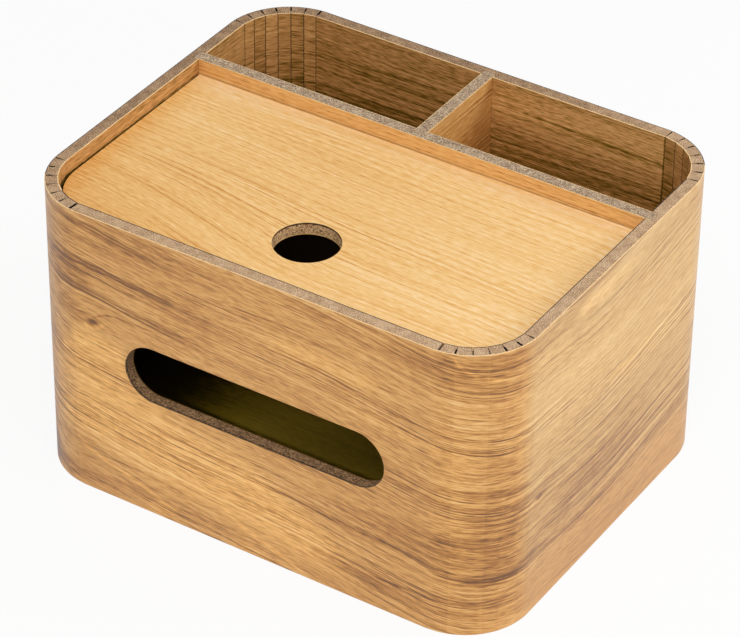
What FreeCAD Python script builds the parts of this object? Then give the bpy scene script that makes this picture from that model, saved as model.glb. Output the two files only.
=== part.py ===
"""Tissue case of veneered board: a kerf-bent wall, a floor, two dividers and a lift-off lid.

The wall is one long board, sawn almost through from its inside face so that it bends round the
four corners in flat facets. It is rebated for the floor and housed for the dividers. The lid drops
in front of the rear divider and rests on two strips, and a round finger hole lifts it out.

Frame: millimetres, +Z up, +X to the right, front towards -Y, origin under the middle of the case.
"""
import FreeCAD
import Part
import math
import os

# The case
case_width = 260.0
case_depth = 210.0
case_height = 158.0
corner_radius = 35.0        # outside, to the middle of the facets that make the corner

# The board that everything is cut from: a fibreboard core with a veneer on each face
core_thickness = 5.5
veneer_thickness = 0.5
board_thickness = core_thickness + 2 * veneer_thickness

# Saw cuts that let the wall bend
cuts_per_corner = 7
cut_web = 0.7               # core left standing behind a cut
cut_open_width = 0.9        # a bent cut's width at its bottom, near the outside face
cut_closed_gap = 0.12       # what stays open at the inside face
unclosed_cut_gap = 0.6      # the same at the one cut that didn't close
cut_open_shares = (1.05, 0.75, 0.95, 0.6, 0.9, 0.8, 1.0)    # of that width, cut by cut round a corner
bend_radius = 4.8           # of the web over one cut, at the cut's bottom
seam_gap = 0.2              # where the two ends of the bent board meet

# Joints between boards
fit_gap = 0.1               # glue line round a board's end in its housing
wall_housing_depth = 3.0    # how deep the dividers are let into the wall
divider_housing_depth = 2.0
rebate_depth = 3.0          # how deep the floor is let into the wall
floor_recess = 1.0          # the floor's underside above the wall's bottom edge

# The slot that the tissues are drawn through
slot_length = 142.0
slot_height = 30.5
slot_middle_height = 81.3
slot_offset = 1.5           # of the slot's middle to the right of the wall's

# The rooms
front_room_depth = 132.5    # from the front wall's inside face to the rear divider
cross_divider_place = 0.0   # along X, of the middle of the cross divider

# The lid
lid_recess = 8.0            # the lid's top below the rim
lid_side_gap = 0.8
lid_rear_gap = 0.6
lid_corner_ease = 2.3       # how much rounder the lid's corners are than the wall beside them
finger_hole_radius = 16.0
finger_hole_setback = 40.0  # from the lid's front edge to the hole's centre

# The strips that the lid rests on
rest_depth = 6.5
rest_height = 12.0
rest_end_gap = 6.0          # from where the wall starts to bend to the strip's end

# How far a cut runs past what it cuts
overrun = 5.0

# Places worked out from the sizes above
bend_angle = math.radians(90.0 / cuts_per_corner)
facet_length = 2 * corner_radius * math.tan(bend_angle / 2)
corner_leg = corner_radius - facet_length / 2       # from the sharp corner to the first cut
bending_depth = veneer_thickness + cut_web          # what bends over a cut, from the outside face
half_width = case_width / 2
half_depth = case_depth / 2
inside_x = half_width - board_thickness
inside_y = half_depth - board_thickness
floor_top = floor_recess + board_thickness
divider_front = front_room_depth - inside_y
divider_rear = divider_front + board_thickness
lid_top = case_height - lid_recess
lid_bottom = lid_top - board_thickness
lid_front = lid_side_gap - inside_y
lid_rear = divider_front - lid_rear_gap
lid_half_width = inside_x - lid_side_gap
lid_corner_radius = corner_radius - board_thickness - lid_side_gap + lid_corner_ease

CORNERS = ("front_right", "rear_right", "rear_left", "front_left")
SEAM_CORNER = "rear_right"
UNCLOSED_CORNER = "front_left"
up = FreeCAD.Vector(0, 0, 1)


def heading(angle):
    """The unit vector in plan at an angle from +X."""
    return FreeCAD.Vector(math.cos(angle), math.sin(angle), 0)


def corner_bends(corner):
    """The bends of one corner, anticlockwise: each its outside vertex and the heading before it."""
    quarter = CORNERS.index(corner)
    sharp = {
        "front_right": FreeCAD.Vector(half_width, -half_depth, 0),
        "rear_right": FreeCAD.Vector(half_width, half_depth, 0),
        "rear_left": FreeCAD.Vector(-half_width, half_depth, 0),
        "front_left": FreeCAD.Vector(-half_width, -half_depth, 0),
    }[corner]
    angle = quarter * math.pi / 2
    vertex = sharp - heading(angle) * corner_leg
    bends = []
    for number in range(cuts_per_corner):
        bends.append((vertex, angle))
        angle += bend_angle
        vertex = vertex + heading(angle) * facet_length
    return bends


def inward(angle):
    """The direction from a bend's outside vertex to its inside one."""
    return heading(angle + bend_angle / 2 + math.pi / 2)


def wall_outline(inset):
    """The wall's closed outline in plan, that far inside its outside face.

    The veneer and the web bend over each cut. Deeper, where the cut parts the board, the turn is sharp.
    """
    radius = bend_radius + bending_depth - inset
    half_turn = bend_angle / 2
    edges = []
    points = []
    for corner in CORNERS:
        for vertex, angle in corner_bends(corner):
            bend = vertex + inward(angle) * (inset / math.cos(half_turn))
            if inset <= bending_depth:
                reach = radius * math.tan(half_turn)
                start = bend - heading(angle) * reach
                middle = bend + inward(angle) * (radius / math.cos(half_turn) - radius)
                end = bend + heading(angle + bend_angle) * reach
                points.append((start, middle, end))
            else:
                points.append((bend, None, bend))
    for number, (start, middle, end) in enumerate(points):
        if middle is not None:
            edges.append(Part.Arc(start, middle, end).toShape())
        following = points[(number + 1) % len(points)][0]
        edges.append(Part.LineSegment(end, following).toShape())
    return Part.Wire(edges)


def prism(wires, bottom, top):
    """A closed outline, or one with a second as its hole, standing from bottom to top."""
    face = Part.makeFace(wires, "Part::FaceMakerBullseye")
    face.translate(up * bottom)
    return face.extrude(up * (top - bottom))


def block(x_range, y_range, z_range):
    """A box between two places on each axis."""
    low = FreeCAD.Vector(x_range[0], y_range[0], z_range[0])
    high = FreeCAD.Vector(x_range[1], y_range[1], z_range[1])
    size = high - low
    return Part.makeBox(size.x, size.y, size.z, low)


def saw_cut(vertex, angle, open_width, closed_gap):
    """The wedge that a saw cut leaves once the wall is bent: open near the outside, closed inside."""
    along = inward(angle)
    across = heading(angle + bend_angle / 2)
    slant = math.cos(bend_angle / 2)
    bottom = vertex + along * (bending_depth / slant)
    inside = vertex + along * (board_thickness / slant)
    beyond = inside + along * overrun
    half_open = across * (open_width / 2)
    half_closed = across * (closed_gap / 2)
    corners = [
        bottom - half_open,
        bottom + half_open,
        inside + half_closed,
        beyond + half_closed,
        beyond - half_closed,
        inside - half_closed,
    ]
    return prism([Part.makePolygon(corners + corners[:1])], -overrun, case_height + overrun)


def seam():
    """The gap where the ends of the bent board meet, at the last bend of the seam's corner."""
    vertex, angle = corner_bends(SEAM_CORNER)[-1]
    across = heading(angle + bend_angle / 2) * (seam_gap / 2)
    start = vertex - inward(angle) * overrun
    end = vertex + inward(angle) * (board_thickness + overrun)
    corners = [start - across, start + across, end + across, end - across]
    return prism([Part.makePolygon(corners + corners[:1])], -overrun, case_height + overrun)


def saw_cuts():
    """All the wall's saw cuts. The last one of one corner stayed open to the inside."""
    cuts = []
    for corner in CORNERS:
        for number, (vertex, angle) in enumerate(corner_bends(corner)):
            open_width = cut_open_width * cut_open_shares[number % len(cut_open_shares)]
            unclosed = corner == UNCLOSED_CORNER and number == cuts_per_corner - 1
            closed_gap = unclosed_cut_gap if unclosed else cut_closed_gap
            cuts.append(saw_cut(vertex, angle, open_width, closed_gap))
    return cuts


def tissue_slot():
    """The slot with round ends that goes through the front wall."""
    radius = slot_height / 2
    left = slot_offset - slot_length / 2 + radius
    right = slot_offset + slot_length / 2 - radius
    front = -half_depth - overrun
    low = slot_middle_height - radius
    high = slot_middle_height + radius

    def at(x, z):
        return FreeCAD.Vector(x, front, z)

    outline = Part.Wire([
        Part.LineSegment(at(left, low), at(right, low)).toShape(),
        Part.Arc(at(right, low), at(right + radius, slot_middle_height), at(right, high)).toShape(),
        Part.LineSegment(at(right, high), at(left, high)).toShape(),
        Part.Arc(at(left, high), at(left - radius, slot_middle_height), at(left, low)).toShape(),
    ])
    depth = board_thickness + 2 * overrun
    return Part.Face(outline).extrude(FreeCAD.Vector(0, depth, 0))


def divider_housings():
    """The upright grooves in the wall that the ends of the two dividers are let into."""
    standing = (floor_top, case_height + overrun)
    between = (divider_front - fit_gap, divider_rear + fit_gap)
    reach = inside_x + wall_housing_depth
    half_board = board_thickness / 2 + fit_gap
    cross = (cross_divider_place - half_board, cross_divider_place + half_board)
    return [
        block((inside_x - overrun, reach), between, standing),
        block((-reach, overrun - inside_x), between, standing),
        block(cross, (inside_y - overrun, inside_y + wall_housing_depth), standing),
    ]


def wall_layer(outer_inset, inner_inset, bottom):
    """One layer of the wall's board, all the way round."""
    outlines = [wall_outline(outer_inset), wall_outline(inner_inset)]
    return prism(outlines, bottom, case_height)


def make_wall():
    """The wall: its core, the veneer outside, and the veneer inside as the cuts divide it."""
    slot = tissue_slot()
    joint = seam()
    cuts = saw_cuts()
    housings = divider_housings()
    core_inside = board_thickness - veneer_thickness
    rebate = prism([wall_outline(board_thickness - rebate_depth)], -overrun, floor_top)

    outside = wall_layer(0, veneer_thickness, 0).cut([slot, joint])
    core = wall_layer(veneer_thickness, core_inside, 0).cut([slot, joint, rebate] + cuts + housings)
    inside = wall_layer(core_inside, board_thickness, floor_top).cut([slot, joint] + cuts + housings)

    nodes = {"wall_outer_veneer": outside, "wall_core": core}
    for name, strips in inner_veneer_groups(inside.Solids).items():
        nodes["wall_inner_veneer_" + name] = Part.makeCompound(strips)
    return nodes


def inner_veneer_groups(strips):
    """The inside veneer's pieces by the wall or the corner that they line."""
    groups = {}
    for strip in strips:
        middle = strip.CenterOfMass
        front_or_rear = "front" if middle.y < 0 else "rear"
        left_or_right = "left" if middle.x < 0 else "right"
        beside_x = half_width - abs(middle.x) < corner_leg
        beside_y = half_depth - abs(middle.y) < corner_leg
        if beside_x and beside_y:
            name = front_or_rear + "_" + left_or_right + "_corner"
        elif beside_x:
            name = left_or_right
        else:
            name = front_or_rear
        groups.setdefault(name, []).append(strip)
    return groups


def make_floor():
    """The floor, let into the wall's rebate all round."""
    outline = wall_outline(board_thickness - rebate_depth + fit_gap)
    core_bottom = floor_recess + veneer_thickness
    core_top = core_bottom + core_thickness
    return {
        "floor_underside_veneer": prism([outline], floor_recess, core_bottom),
        "floor_core": prism([outline], core_bottom, core_top),
        "floor_top_veneer": prism([outline], core_top, floor_top),
    }


def make_rear_divider():
    """The divider across the case, housed in both side walls and grooved for the cross divider."""
    reach = inside_x + wall_housing_depth - fit_gap
    length = (-reach, reach)
    standing = (floor_top, case_height)
    core_front = divider_front + veneer_thickness
    core_rear = core_front + core_thickness
    half_board = board_thickness / 2 + fit_gap
    groove = block(
        (cross_divider_place - half_board, cross_divider_place + half_board),
        (divider_rear - divider_housing_depth, divider_rear + overrun),
        (floor_top - overrun, case_height + overrun),
    )
    return {
        "rear_divider_front_veneer": block(length, (divider_front, core_front), standing),
        "rear_divider_core": block(length, (core_front, core_rear), standing).cut(groove),
        "rear_divider_rear_veneer": block(length, (core_rear, divider_rear), standing).cut(groove),
    }


def make_cross_divider():
    """The short divider behind, housed in the rear divider and in the rear wall."""
    left = cross_divider_place - board_thickness / 2
    core_left = left + veneer_thickness
    core_right = core_left + core_thickness
    right = core_right + veneer_thickness
    length = (
        divider_rear - divider_housing_depth + fit_gap,
        inside_y + wall_housing_depth - fit_gap,
    )
    standing = (floor_top, case_height)
    return {
        "cross_divider_left_veneer": block((left, core_left), length, standing),
        "cross_divider_core": block((core_left, core_right), length, standing),
        "cross_divider_right_veneer": block((core_right, right), length, standing),
    }


def lid_outline():
    """The lid in plan: round corners at the front, square ones at the divider."""
    radius = lid_corner_radius
    shoulder = lid_front + radius
    reach = lid_half_width - radius
    arc_reach = radius * math.cos(math.pi / 4)

    def at(x, y):
        return FreeCAD.Vector(x, y, 0)

    def corner(side):
        middle = at(side * (reach + arc_reach), shoulder - arc_reach)
        return Part.Arc(at(side * reach, lid_front), middle, at(side * lid_half_width, shoulder)).toShape()

    return Part.Wire(Part.__sortEdges__([
        Part.LineSegment(at(-reach, lid_front), at(reach, lid_front)).toShape(),
        corner(1),
        Part.LineSegment(at(lid_half_width, shoulder), at(lid_half_width, lid_rear)).toShape(),
        Part.LineSegment(at(lid_half_width, lid_rear), at(-lid_half_width, lid_rear)).toShape(),
        Part.LineSegment(at(-lid_half_width, lid_rear), at(-lid_half_width, shoulder)).toShape(),
        corner(-1),
    ]))


def make_lid():
    """The lift-off lid with its finger hole."""
    hole_centre = FreeCAD.Vector(0, lid_front + finger_hole_setback, 0)
    hole = Part.Wire(Part.makeCircle(finger_hole_radius, hole_centre, up))
    outlines = [lid_outline(), hole]
    core_bottom = lid_bottom + veneer_thickness
    core_top = core_bottom + core_thickness
    return {
        "lid_underside_veneer": prism(outlines, lid_bottom, core_bottom),
        "lid_core": prism(outlines, core_bottom, core_top),
        "lid_top_veneer": prism(outlines, core_top, lid_top),
    }


def make_lid_rests():
    """The two strips that carry the lid, on the front wall and on the rear divider."""
    reach = half_width - corner_leg - rest_end_gap
    standing = (lid_bottom - rest_height, lid_bottom)
    return {
        "front_lid_rest": block((-reach, reach), (-inside_y, rest_depth - inside_y), standing),
        "rear_lid_rest": block((-reach, reach), (divider_front - rest_depth, divider_front), standing),
    }


def main():
    """Builds every piece and writes each to its own file."""
    nodes = {}
    for make in (make_wall, make_floor, make_rear_divider, make_cross_divider, make_lid, make_lid_rests):
        nodes.update(make())
    os.makedirs("parts", exist_ok=True)
    for name, shape in sorted(nodes.items()):
        shape.exportStep(os.path.join("parts", name + ".step"))
        print(f"{name}: {len(shape.Solids)} solid(s), {shape.Volume:.0f} mm3, valid {shape.isValid()}")


main()
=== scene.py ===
# %% [markdown]
# # A tissue case of bent, veneered board
# The case is one long veneered board bent into a band, with a floor, two dividers and a lid that lifts out.
# This lesson starts from its solid model, which stays fixed, and gives every piece its looks: eased edges,
# ash veneer whose grain runs on round the corners, and the speckled fibreboard that shows at every sawn
# edge. The first cell loads that solid model as a frame and keeps its box.

import math

import bmesh
import bpy
from mathutils import Matrix, Vector


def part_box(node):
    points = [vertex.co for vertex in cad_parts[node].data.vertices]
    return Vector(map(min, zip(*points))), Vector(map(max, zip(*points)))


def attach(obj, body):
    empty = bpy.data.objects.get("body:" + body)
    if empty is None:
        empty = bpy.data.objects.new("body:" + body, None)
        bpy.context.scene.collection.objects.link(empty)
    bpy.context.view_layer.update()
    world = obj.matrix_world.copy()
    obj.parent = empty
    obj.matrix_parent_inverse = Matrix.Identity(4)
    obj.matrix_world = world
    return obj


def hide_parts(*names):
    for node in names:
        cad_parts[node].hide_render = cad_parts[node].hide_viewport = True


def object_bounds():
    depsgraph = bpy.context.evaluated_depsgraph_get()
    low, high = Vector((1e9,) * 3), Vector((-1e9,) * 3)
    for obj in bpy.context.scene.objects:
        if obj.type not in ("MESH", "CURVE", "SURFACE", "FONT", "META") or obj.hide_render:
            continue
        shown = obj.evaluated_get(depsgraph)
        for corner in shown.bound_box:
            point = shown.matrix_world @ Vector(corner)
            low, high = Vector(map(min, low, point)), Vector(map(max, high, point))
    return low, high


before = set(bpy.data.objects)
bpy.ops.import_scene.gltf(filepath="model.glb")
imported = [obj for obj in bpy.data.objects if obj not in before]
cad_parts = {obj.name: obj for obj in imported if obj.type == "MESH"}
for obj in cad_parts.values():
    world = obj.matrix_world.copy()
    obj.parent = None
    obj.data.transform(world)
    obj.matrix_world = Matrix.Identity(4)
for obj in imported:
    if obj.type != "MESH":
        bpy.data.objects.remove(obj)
cad_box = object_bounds()

# %% [markdown]
# ## Driving sizes
# Most sizes are read from the frame, so the pieces can't drift away from it. A few can't be read from a box
# round a node: how the corners are bent and where the slot and the finger hole are cut. Each corner is
# seven shallow bends, one over each saw cut, so the case has flat facets and no true round.

# %% Sizes of the band
MM = 0.001
case_low, case_high = cad_box
case_height = case_high.z - case_low.z
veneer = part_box("floor_top_veneer")[1].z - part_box("floor_top_veneer")[0].z
corner_radius = 35 * MM
bends_per_corner = 7
seam_gap = 0.2 * MM
bend_round = 24 * MM

bend_angle = math.pi / 2 / bends_per_corner
facet_length = 2 * corner_radius * math.tan(bend_angle / 2)
corner_leg = corner_radius - facet_length / 2
front_flat = case_high.x - case_low.x - 2 * corner_leg
side_flat = case_high.y - case_low.y - 2 * corner_leg
print(f"board: veneer {veneer / MM:.2f} mm, facets {facet_length / MM:.2f} mm")
print(f"flat lengths: front {front_flat / MM:.1f} mm, sides {side_flat / MM:.1f} mm")

# %% [markdown]
# ## The way round the band
# The grain of the outside veneer never breaks at a corner, so its finish needs a coordinate that runs along
# the wall. The plan of the outside is a chain of straight runs, from the seam at the rear right, round the
# left, front and right, back to the seam. Each run knows where it starts, which way it heads and how far
# along the wall it is. Distances count from the middle of the front. The same chain later drives the
# extrusions.

# %% The runs of the outside
def heading(bends):
    """Direction of the wall after so many bends, going round from the front to the right."""
    return Vector((math.cos(bends * bend_angle), math.sin(bends * bend_angle), 0))


def chain(start, distance, bends, lengths):
    """Runs of the given lengths, one bend apart, as (start, direction, length, distance along the wall)."""
    runs = []
    for length in lengths:
        runs.append((start, heading(bends), length, distance))
        start = start + heading(bends) * length
        distance += length
        bends += 1
    return runs


corner_facets = [facet_length] * (bends_per_corner - 1)
front_start = Vector((-front_flat / 2, case_low.y, 0))
to_the_right = chain(front_start, -front_flat / 2, 0, [front_flat, *corner_facets, side_flat, *corner_facets])
left_lengths = [front_flat - seam_gap, *corner_facets, side_flat, *corner_facets]
rear_start = Vector((case_high.x - corner_leg - seam_gap, case_high.y, 0))
rear_distance = -front_flat / 2 - sum(left_lengths)
from_the_rear = chain(rear_start, rear_distance, -2 * bends_per_corner, left_lengths)
outside_runs = [*from_the_rear, *to_the_right]


def wall_place(point):
    """Distance along the wall and depth behind its outside, from the run nearest to a point."""
    flat = Vector((point.x, point.y, 0))
    places = []
    for start, direction, length, distance in outside_runs:
        share = min(max((flat - start).dot(direction), 0), length)
        gap = (flat - start - direction * share).length
        places.append((gap, distance + share))
    depth, along = min(places)
    return along, depth


wall_length = to_the_right[-1][3] + facet_length - rear_distance
print(f"outside: {len(outside_runs)} runs, {wall_length / MM:.0f} mm from seam to seam")

# %% [markdown]
# ## Building a finish from nodes
# Every finish here is a Principled shader fed by procedural nodes. Adding and linking nodes takes many
# lines, so a small class keeps the recipe readable: `node` adds one and fills its inputs. `maths`, `total`
# and `product` do arithmetic on sockets, and `smooth` maps a value softly between two levels. `noise` makes
# a noise in millimetres that is stretched along the grain, `chance` a random value for each number, and
# `curve` follows drawn points. Colours are written as the red, green and blue seen on a screen.

# %% A finish
def seen(red, green, blue):
    """A colour as seen on screen, 0 to 255, in the linear values that shaders use."""
    shares = [channel / 255 for channel in (red, green, blue)]
    return (*[c / 12.92 if c <= 0.04045 else ((c + 0.055) / 1.055) ** 2.4 for c in shares], 1)


def browns(places, *colours):
    """Stops for a ramp from dark to pale: colours as seen on screen, each at its place."""
    return [(place, seen(*colour)) for place, colour in zip(places, colours)]


class Finish:
    """A material while it is being built."""

    def __init__(self, name):
        self.material = bpy.data.materials.new(name)
        self.material.use_nodes = True
        self.tree = self.material.node_tree
        self.shader = self.tree.nodes["Principled BSDF"]

    def put(self, node, socket, value):
        """Links a socket to a node's input, or sets the input's value."""
        if isinstance(value, bpy.types.NodeSocket):
            self.tree.links.new(value, node.inputs[socket])
        else:
            node.inputs[socket].default_value = value

    def node(self, kind, inputs, **settings):
        node = self.tree.nodes.new(kind)
        for setting, value in settings.items():
            setattr(node, setting, value)
        for socket, value in inputs.items():
            self.put(node, socket, value)
        return node

    def maths(self, operation, *values):
        return self.node("ShaderNodeMath", dict(enumerate(values)), operation=operation).outputs[0]

    def total(self, *values):
        result = values[0]
        for value in values[1:]:
            result = self.maths("ADD", result, value)
        return result

    def product(self, *values):
        result = values[0]
        for value in values[1:]:
            result = self.maths("MULTIPLY", result, value)
        return result

    def smooth(self, value, low, high, at_low=0.0, at_high=1.0):
        inputs = {0: value, 1: low, 2: high, 3: at_low, 4: at_high}
        return self.node("ShaderNodeMapRange", inputs, interpolation_type="SMOOTHSTEP").outputs[0]

    def noise(self, along, across, length, width, seed, detail=2.0, roughness=0.5):
        """A noise whose features are about so long and so wide."""
        place = {0: self.maths("DIVIDE", along, length), 1: self.maths("DIVIDE", across, width), 2: seed}
        vector = self.node("ShaderNodeCombineXYZ", place).outputs[0]
        inputs = {"Vector": vector, "Scale": 1.0, "Detail": detail, "Roughness": roughness}
        return self.node("ShaderNodeTexNoise", inputs).outputs[0]

    def chance(self, number):
        """A random value from 0 to 1, the same for the same number."""
        return self.node("ShaderNodeTexWhiteNoise", {"W": number}, noise_dimensions="1D").outputs[0]

    def ramp(self, value, stops):
        """Colours by value, from a list of (value, colour)."""
        ramp = self.node("ShaderNodeValToRGB", {0: value})
        points = ramp.color_ramp.elements
        while len(points) < len(stops):
            points.new(0.5)
        for point, (place, colour) in zip(points, stops):
            point.position = place
            point.color = colour
        return ramp.outputs[0]

    def curve(self, value, points):
        """A drawn curve through (value, result) points, all from 0 to 1."""
        node = self.node("ShaderNodeFloatCurve", {"Value": value})
        line = node.mapping.curves[0].points
        while len(line) < len(points):
            line.new(0.5, 0.5)
        for handle, place in zip(line, points):
            handle.location = place
            handle.handle_type = "AUTO_CLAMPED"
        node.mapping.extend = "HORIZONTAL"
        node.mapping.update()
        return node.outputs[0]

    def mix(self, factor, first, second, blend="MIX"):
        inputs = {0: factor, 6: first, 7: second}
        return self.node("ShaderNodeMix", inputs, data_type="RGBA", blend_type=blend).outputs[2]

    def shine(self, colour, roughness, bump, bump_depth):
        """Feeds the shader: colour, roughness and a bump whose full height is so many millimetres."""
        self.put(self.shader, "Base Color", colour)
        self.put(self.shader, "Roughness", roughness)
        inputs = {"Strength": 1.0, "Distance": bump_depth * MM, "Height": bump}
        self.put(self.shader, "Normal", self.node("ShaderNodeBump", inputs).outputs[0])
        return self.material


print("a finish is built by", len([name for name in vars(Finish) if not name.startswith("_")]), "small tools")

# %% [markdown]
# ## Where the grain runs
# On the wall the grain follows the band, so its coordinates are a UV map: distance along the wall and
# height, in metres. Flat boards need no map. Their object coordinates will do, with one axis taken as along
# the grain and another as across it. Both ways give `along` and `across` in millimetres.

# %% Grain coordinates
GRAIN_MAP = "grain"


def in_millimetres(finish, point, axes):
    place = finish.node("ShaderNodeSeparateXYZ", {0: point})
    return [finish.product(place.outputs[axis], 1 / MM) for axis in axes]


def on_the_wall(finish):
    return in_millimetres(finish, finish.node("ShaderNodeUVMap", {}, uv_map=GRAIN_MAP).outputs[0], (0, 1))


def on_a_board(*axes):
    def coordinates(finish):
        return in_millimetres(finish, finish.node("ShaderNodeTexCoord", {}).outputs["Object"], axes)

    return coordinates


def lay_grain(piece):
    """Gives a piece of the wall its grain map."""
    layer = piece.data.uv_layers.new(name=GRAIN_MAP)
    for loop in piece.data.loops:
        point = piece.data.vertices[loop.vertex_index].co
        layer.data[loop.index].uv = (wall_place(point)[0], point.z)


print("grain runs along the wall, or along one axis of a board")

# %% [markdown]
# ## Ash veneer
# Sliced ash shows broad bands of growth, dark lines where each year's open pores were cut, hairs and flecks
# of fibre, and short dark dashes that are single pores. The year lines are growth rings: the distance
# across the grain is cut into years, each with a sharp side and a fading one. Some rings are wavy and some
# even. The rest are noises stretched along the grain. All share one slow sideways wander, so they bend
# together as real growth lines do. Their sum is a tone from dark to pale, and a ramp of browns turns the
# tone into colour. The same tone drives the roughness and a faint bump.

# %% The ash recipe
even_stops = (0.00, 0.25, 0.50, 0.75, 1.00)
outside_stops = (0.00, 0.22, 0.50, 0.74, 1.00)
dark_roughness = 0.52
pale_roughness = 0.38
varnish_roughness = 0.35
grain_depth = 0.05
bent_opening = 0.1


def centred(finish, value, strength):
    """A noise as plus and minus a strength."""
    return finish.product(finish.maths("SUBTRACT", value, 0.5), strength)


def growth_rings(finish, along, across, gap, waviness, seed):
    """A dark line for each year, sharp on one side and fading on the other, each of its own strength."""
    wave = centred(finish, finish.noise(along, across, 240, 10, seed, detail=1.0), waviness)
    place = finish.maths("DIVIDE", finish.total(across, wave), gap)
    edge = finish.smooth(finish.maths("FRACT", place), 0.0, 0.32, 1.0, 0.0)
    year = finish.maths("ADD", finish.maths("FLOOR", place), seed)
    return finish.product(edge, finish.smooth(finish.chance(year), 0.0, 1.0, 0.15, 1.0))


def ash_tone(
    finish, along, across, seed, wander, bands, streaks, lines, even, pores, fibres, flecks, bent_share=0.0
):
    """Tone of plain ash from 0, dark, to 1, pale, and the pores alone. The strengths set each part.
    Where the veneer is bent, by a share from 0 to 1, its lines and pores open and show more."""
    sway = centred(finish, finish.noise(along, across, 150, 42, seed, detail=1.5), wander)
    ripple = centred(finish, finish.noise(along, across, 36, 13, seed + 1.7, detail=1.5), wander * 0.3)
    bent = finish.total(across, sway, ripple)

    growth = finish.noise(along, bent, 300, 13, seed + 3.1, detail=2.5, roughness=0.55)
    streak = finish.noise(along, bent, 190, 3.4, seed + 5.3, detail=2.0, roughness=0.55)
    hair = finish.noise(along, bent, 95, 1.3, seed + 11.3, detail=1.0, roughness=0.5)
    fleck = finish.noise(along, bent, 5.5, 0.55, seed + 17.1, detail=1.5)

    clump = finish.smooth(finish.noise(along, bent, 120, 12, seed + 6.1, detail=1.0), 0.36, 0.62, 0.3, 1.3)
    broken = finish.smooth(finish.noise(along, bent, 120, 4.0, seed + 8.3, detail=2.0), 0.36, 0.60, 0.35, 1.0)
    years = growth_rings(finish, along, bent, 3.1, 9.0, seed + 7.9)
    close_years = growth_rings(finish, along, bent, 1.5, 9.0, seed + 9.7)
    even_years = growth_rings(finish, along, bent, 2.7, 3.0, seed + 10.9)
    line = finish.product(finish.maths("MAXIMUM", years, close_years), broken)
    dash = finish.smooth(finish.noise(along, bent, 14, 0.6, seed + 13.7, detail=1.0), 0.60, 0.74)

    opened = finish.maths("MULTIPLY_ADD", bent_share, bent_opening, 1.0)
    pale_parts = finish.total(
        finish.product(centred(finish, hair, fibres), clump),
        centred(finish, fleck, flecks),
    )
    dark_parts = finish.total(
        finish.product(line, clump, lines),
        finish.product(dash, pores),
        finish.product(even_years, even),
    )
    small_parts = finish.maths("SUBTRACT", pale_parts, dark_parts)
    tone = finish.total(
        0.5,
        centred(finish, growth, bands),
        centred(finish, streak, streaks),
        finish.product(small_parts, opened),
    )
    return tone, finish.maths("MAXIMUM", dash, line)


def ash_surface(finish, colour, tone, pore, coat=0.4, shine=0.5):
    """Sheen and bump of ash from its tone, under a colour. Coat is varnish, shine is the wood below it."""
    roughness = finish.smooth(tone, 0.1, 0.9, dark_roughness, pale_roughness)
    height = finish.maths("MULTIPLY_ADD", pore, -0.5, finish.product(tone, 0.5))
    finish.put(finish.shader, "Coat Weight", coat)
    finish.put(finish.shader, "Specular IOR Level", shine)
    finish.put(finish.shader, "Coat Roughness", varnish_roughness)
    return finish.shine(colour, roughness, height, grain_depth)


honey_browns = browns(
    outside_stops, (108, 64, 14), (170, 110, 40), (219, 160, 83), (236, 186, 114), (248, 212, 154)
)
# Straw browns are paler and greyer: painted sheen for the right wall.
sheen_straw_browns = browns(
    outside_stops, (136, 84, 38), (184, 131, 66), (218, 171, 100), (233, 193, 129), (245, 216, 162)
)
print("ash goes through", len(honey_browns), "browns, honey or straw")

# %% [markdown]
# ## The outside veneer's own figure
# The outside of the case is the piece that everyone looks at, and no noise gives a particular sheet of
# veneer. So its large figure is drawn over the plain ash: a drift that tilts the grain, dark streaks that
# run from the front round the corner, thin dark lines, paler clouds, and two small knots that push the
# lines aside. A streak is a list of points: distance along the wall, height, half width and strength, all
# in millimetres but the last. One list may hold several streaks, one after another, with no strength
# between them. That keeps the number of nodes low.
# Some streaks and clouds are painted light: shade over the whole left corner, sheen on the right wall.

# %% Drawing on the veneer
widest_streak = 80
streak_depth = 0.24
pale_lift = (1.32, 1.40, 1.48, 1)


def along_points(finish, along, points):
    """How far a place is along a row of points, from 0 to 1, and where on that scale each point lies."""
    first, last = points[0][0], points[-1][0]
    share = finish.node("ShaderNodeMapRange", {0: along, 1: first, 2: last, 3: 0.0, 4: 1.0}).outputs[0]
    return share, [(point[0] - first) / (last - first) for point in points]


def drawn_streak(finish, along, across, points):
    """A soft streak along given points, as a strength from 0 to 1."""
    share, places = along_points(finish, along, points)
    top = case_height / MM
    centre, width, strength = [
        finish.curve(share, [(place, point[column] / most) for place, point in zip(places, points)])
        for column, most in ((1, top), (2, widest_streak), (3, 1))
    ]
    gap = finish.maths("ABSOLUTE", finish.maths("SUBTRACT", across, finish.product(centre, top)))
    reach = finish.maths("DIVIDE", gap, finish.product(width, widest_streak))
    return finish.product(finish.smooth(reach, 0.3, 1.0, 1.0, 0.0), strength)


def drawn_over(finish, tone, along, across, flow, drawing, hearts=()):
    """Tone with dark streaks and thin lines drawn over it, and how pale it is. A noise frays the streaks'
    edges and tears them into strands. The thin lines are torn less."""
    strands = finish.noise(along, flow, 60, 1.3, 31.0, detail=3.0, roughness=0.6)
    torn = finish.smooth(strands, 0.34, 0.66, 0.4, 1.4)
    frayed = finish.total(across, centred(finish, finish.noise(along, across, 50, 16, 37.0), 4.0))
    drawn = {"hearts": finish.total(0.0, *hearts)}
    for kind, place in (("streaks", frayed), ("lines", across), ("pales", frayed)):
        parts = [drawn_streak(finish, along, place, points) for points in drawing[kind]]
        drawn[kind] = finish.total(0.0, *parts)
    toned_down = finish.product(drawn["lines"], finish.maths("MULTIPLY_ADD", torn, 0.6, 0.4))
    dark = finish.total(finish.product(drawn["streaks"], torn), toned_down, drawn["hearts"])
    return finish.maths("MULTIPLY_ADD", dark, -streak_depth, tone), drawn["pales"]


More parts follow.
